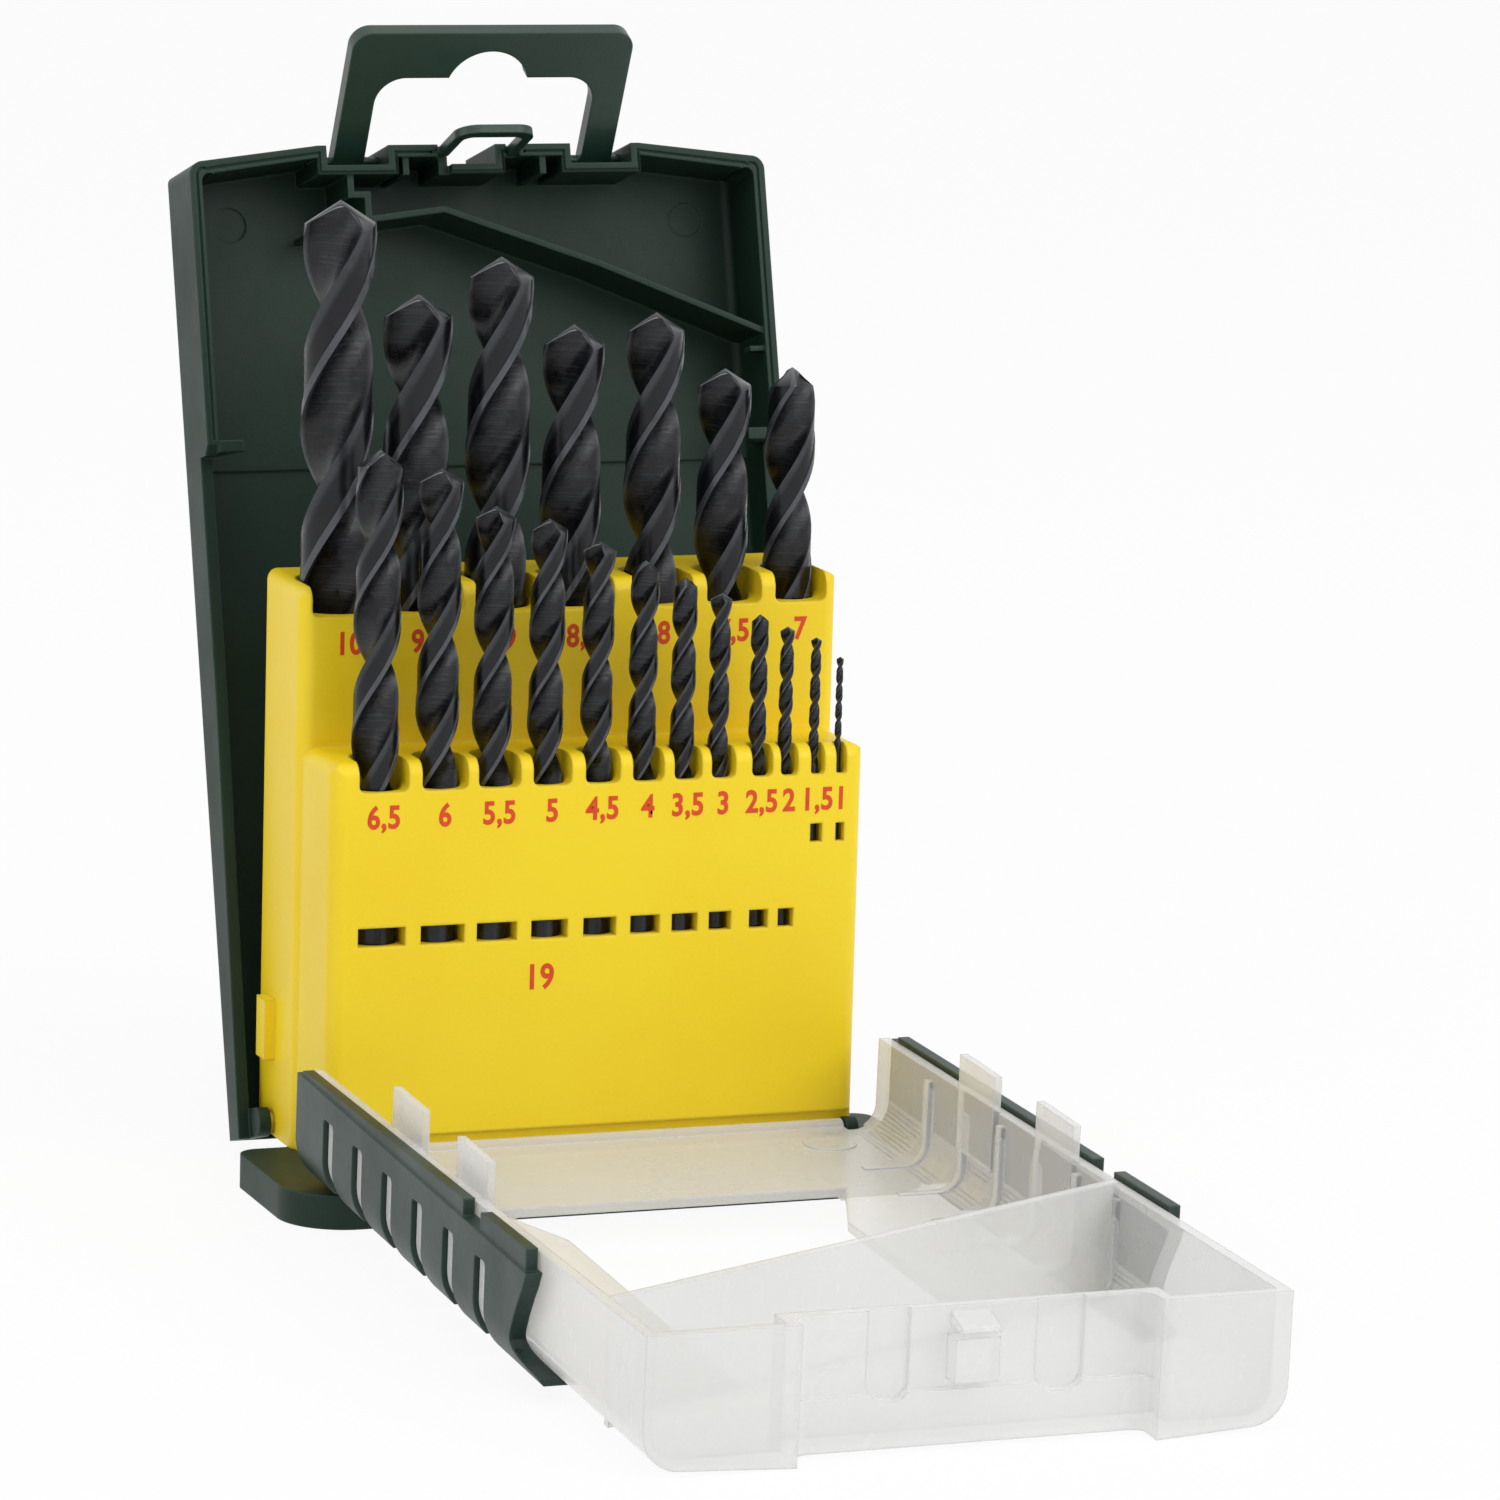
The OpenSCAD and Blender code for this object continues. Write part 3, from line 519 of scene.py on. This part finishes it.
def buildDrill(name, size, form, mat):
    d, length, flute, x, floorZ, turnPoint = size
    r = d / 2
    frontY = form["highFront"] if d > form["highRowFrom"] else form["lowFront"]
    half = drillHalfSection(form)
    section = half + [(-point[0], -point[1]) + point[2:] for point in half]
    n = len(section)
    shank = length - flute
    rate = math.tan(math.radians(form["helix"])) / r
    tipAngle = math.radians(shot["azimuth"] + turnPoint)
    cone = 1 / math.tan(math.radians(form["pointHalf"]))
    relief = math.tan(math.radians(form["relief"]))
    rings = math.ceil(math.degrees(flute * rate) / form["ringStep"])
    verts, depths, groundAndHighlightBands, along, lips = [], [], [], [], []

    def addRing(zOf, fade, shrink=1.0, lipShare=0):
        for px, py, depth, groundAndHighlightBand, lag, lip in section:
            radius = math.hypot(px, py)
            grown = (radius + (1 - radius) * fade) * r * shrink
            z = zOf(radius, lag)
            angle = math.atan2(py, px) + tipAngle + (max(z, shank) - length) * rate
            verts.append((grown * math.cos(angle), grown * math.sin(angle), z))
            depths.append(depth * (1 - fade))
            groundAndHighlightBands.append(groundAndHighlightBand * (1 - fade))
            along.append(z)
            lips.append(lip * lipShare)

    addRing(lambda radius, lag: 0, 1, form["tailWidth"])
    addRing(lambda radius, lag: r * form["tailHeight"], 1)
    addRing(lambda radius, lag: shank, 1)
    runOut = math.degrees(form["runOut"] * d * rate)
    fadeRings = max(form["runOutRings"], math.ceil(runOut / form["ringStep"]))
    lipStep = form["lipWidth"] * min(1, r / form["lipFullRadius"]) * rings / flute
    for k in [*range(1, rings), rings - lipStep, rings]:
        fade = max(0, 1 - k / fadeRings) ** 2

        def ringHeight(radius, lag, k=k):
            top = length - radius * r * cone - lag * radius * r * relief
            return shank + (top - shank) * k / rings
        addRing(ringHeight, fade, 1.0, 1 if k == rings else 0)
    inner = form["lipInner"]
    addRing(lambda radius, lag: length - inner * radius * r * (cone + lag * relief), 0, inner)
    ringCount = len(verts) // n
    faces = []
    for i in range(ringCount - 1):
        for j in range(n):
            k = (j + 1) % n
            faces.append((i * n + j, i * n + k, (i + 1) * n + k, (i + 1) * n + j))
    bottom, top = len(verts), len(verts) + 1
    verts += [(0, 0, 0), (0, 0, length)]
    depths += [0, form["tipDepth"]]
    groundAndHighlightBands += [0, form["tipGroundAndHighlight"]]
    along += [0, length]
    lips += [0, form["tipLip"]]
    last = (ringCount - 1) * n
    for j in range(n):
        k = (j + 1) % n
        faces.append((bottom, k, j))
        faces.append((top, last + j, last + k))
    at = Vector((x, frontY + r, floorZ + form["restGap"]))
    mesh = bpy.data.meshes.new(name + "_steel")
    mesh.from_pydata([tuple((Vector(v) + at) * mm) for v in verts], [], faces)
    measures = {"fluteDepth": depths, "groundAndHighlightBand": groundAndHighlightBands, "along": along, "lip": lips}
    for label, values in measures.items():
        layer = mesh.attributes.new(label, "FLOAT", "POINT")
        layer.data.foreach_set("value", values)
    mesh.shade_smooth()
    mesh.set_sharp_from_angle(angle=math.radians(form["sharpFrom"]))
    mesh.materials.append(mat)
    obj = bpy.data.objects.new(name + "_steel", mesh)
    bpy.context.scene.collection.objects.link(obj)
    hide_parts(name)
    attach(obj, name)


# Black oxide on steel: bluish black. The lighter tones along the outer lands, heels, flute lines
# and cutting lips are partly ground steel and partly painted highlight
oxideLook = {
    "body": srgb(22, 24, 28), "shade": srgb(14, 15, 18), "flute": srgb(16, 17, 20),
    "groundSteelAndHighlight": srgb(88, 91, 97), "bareSteelAndHighlight": srgb(176, 178, 182),
    "driftScale": 140.0, "lineScale": 2.6, "fineScale": 14.0, "grainScale": 2400.0,
    "metallic": 0.35, "roughness": 0.26, "roughFlute": 0.25, "fluteFrom": 0.2, "fluteTo": 0.8,
    "streak": 0.28, "streakRough": 0.22, "bump": 0.3, "bumpDepth": 0.00006,
    "worn": {"scale": 260, "detail": 3, "rough": 0.6, "from": 0.3, "to": 0.55},
    "shine": 0.45, "wornShine": 0.35, "lipShine": 0.75,
}

# Rings that the grinding wheel left: broad and fine lines along a length, worn in places
grindingForm = {
    "detail": 2,
    "lines": {"Broad": (0.48, 0.66), "Fine": (0.45, 0.62)},
    "worn": {"scale": 420, "detail": 3, "rough": 0.6, "from": 0.34, "to": 0.6},
}


def makeGrinding():
    group, given, result = newGroup(
        "grindingLines",
        [
            ("Along", "NodeSocketFloat", 0.0),
            ("Broad", "NodeSocketFloat", 3.0),
            ("Fine", "NodeSocketFloat", 16.0),
        ],
        [("Lines", "NodeSocketFloat")],
    )
    layers = []
    for label, (low, high) in grindingForm["lines"].items():
        lines = group.nodes.new("ShaderNodeTexNoise")
        lines.noise_dimensions = "1D"
        lines.inputs["Detail"].default_value = grindingForm["detail"]
        group.links.new(given[label], lines.inputs["Scale"])
        group.links.new(given["Along"], lines.inputs["W"])
        layers.append(spread(group, lines.outputs["Fac"], low, high))
    worn = patches(group, grindingForm["worn"])
    both = mathNode(group, "MULTIPLY", mathNode(group, "MAXIMUM", *layers), worn)
    group.links.new(both, result["Lines"])
    return group


grindingLines = makeGrinding()


def blackOxide(name, look):
    mat = bpy.data.materials.new(name)
    mat.use_nodes = True
    tree = mat.node_tree
    shader = tree.nodes["Principled BSDF"]
    values = {}
    for label in ("fluteDepth", "groundAndHighlightBand", "along", "lip"):
        node = tree.nodes.new("ShaderNodeAttribute")
        node.attribute_name = label
        values[label] = node.outputs["Fac"]
    tones = {"Light": look["body"], "Dark": look["shade"], "Scale": look["driftScale"]}
    drift = place(tree, colourDrift, tones)
    grinding = tree.nodes.new("ShaderNodeGroup")
    grinding.node_tree = grindingLines
    grinding.inputs["Broad"].default_value = look["lineScale"]
    grinding.inputs["Fine"].default_value = look["fineScale"]
    tree.links.new(values["along"], grinding.inputs["Along"])
    lines = grinding.outputs["Lines"]
    inFlute = spread(tree, values["fluteDepth"], look["fluteFrom"], look["fluteTo"])
    streak = mathNode(tree, "MULTIPLY", lines, inFlute)
    # Band along the outer lands, heels and first land points: partly ground steel, partly painted
    # highlight; worn patches vary its strength
    worn = mathNode(tree, "MULTIPLY", patches(tree, look["worn"]), look["wornShine"])
    shine = mathNode(tree, "ADD", worn, look["shine"])
    band = mathNode(tree, "MULTIPLY", values["groundAndHighlightBand"], shine)
    # Flute streaks: the grinding lines are real grooves, but their lighter tone is partly a painted
    # highlight along the flutes
    scoredAndHighlight = mathNode(tree, "MULTIPLY", streak, look["streak"])
    # Cutting lips and point: a near-white tone, partly bare ground steel and partly a painted
    # highlight on the edges
    lipBareAndHighlight = mathNode(tree, "MULTIPLY", values["lip"], look["lipShine"])
    colour = mixColour(tree, inFlute, drift["Color"], look["flute"])
    colour = mixColour(tree, scoredAndHighlight, colour, look["groundSteelAndHighlight"])
    colour = mixColour(tree, band, colour, look["groundSteelAndHighlight"])
    colour = mixColour(tree, lipBareAndHighlight, colour, look["bareSteelAndHighlight"])
    tree.links.new(colour, shader.inputs["Base Color"])
    shader.inputs["Metallic"].default_value = look["metallic"]
    rough = tree.nodes.new("ShaderNodeMix")
    rough.inputs["A"].default_value = look["roughness"]
    rough.inputs["B"].default_value = look["roughFlute"]
    tree.links.new(inFlute, rough.inputs["Factor"])
    duller = mathNode(tree, "MULTIPLY", streak, look["streakRough"])
    roughness = mathNode(tree, "ADD", rough.outputs["Result"], duller)
    tree.links.new(roughness, shader.inputs["Roughness"])
    bump = tree.nodes.new("ShaderNodeBump")
    bump.inputs["Strength"].default_value = look["bump"]
    bump.inputs["Distance"].default_value = look["bumpDepth"]
    grain = place(tree, mouldGrain, {"Scale": look["grainScale"], "Waves": 0.0})
    tree.links.new(mathNode(tree, "ADD", streak, grain["Height"]), bump.inputs["Height"])
    tree.links.new(bump.outputs["Normal"], shader.inputs["Normal"])
    return mat


bitSteel = blackOxide("bitSteel", oxideLook)
for name, size in drillSizes.items():
    buildDrill(name, size, drillForm, bitSteel)
print("drill bits made")

# Printed sizes on the front of the two steps, in mm; figures stand 0.72 of the font's size high
printing = {
    "digitHeight": 3.15,
    "countHeight": 3.465,
    "figureShare": 0.72,
    "narrow": 0.86,
    "spacing": 1.06,
    "bolder": 0.13,
    "curveSteps": 4,
    "proud": 0.03,
    "lowZ": 52.2,
    "lowY": -14.4,
    "highZ": 73.9,
    "highY": -1.0,
    "count": ("19", -8.4, 28.9),
}


def printNumber(text, x, y, z, height, mat):
    curve = bpy.data.curves.new("size_" + text.replace(",", "_"), "FONT")
    curve.body = text
    curve.align_x = "CENTER"
    curve.size = height * mm / printing["figureShare"]
    curve.resolution_u = printing["curveSteps"]
    curve.space_character = printing["spacing"]
    curve.offset = printing["bolder"] * mm
    ink = bpy.data.objects.new("printed_" + text.replace(",", "_"), curve)
    ink.location = (x * mm, (y - printing["proud"]) * mm, z * mm)
    ink.rotation_euler = (math.radians(90), 0, 0)
    ink.scale.x = printing["narrow"]
    bpy.context.scene.collection.objects.link(ink)
    curve.materials.append(mat)
    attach(ink, "case")


inkLook = {
    "light": srgb(228, 78, 26), "dark": srgb(214, 66, 22), "edge": srgb(228, 84, 34),
    "driftScale": 400.0, "edgeRadius": 0.0001, "edgeReach": 0.0,
    "grainScale": 2600.0, "grain": 0.2, "smooth": 0.4, "dull": 0.55, "specular": 0.4,
}
inkPaint = mouldedPlastic("inkPaint", inkLook)[0]
for name, (diameter, _, _, x, _, _) in drillSizes.items():
    text = name.removeprefix("drill_").replace("_", ",")
    row = "high" if diameter > drillForm["highRowFrom"] else "low"
    y, z = printing[row + "Y"], printing[row + "Z"]
    printNumber(text, x, y, z, printing["digitHeight"], inkPaint)
countText, countX, countZ = printing["count"]
printNumber(countText, countX, printing["lowY"], countZ, printing["countHeight"], inkPaint)
print("sizes printed")
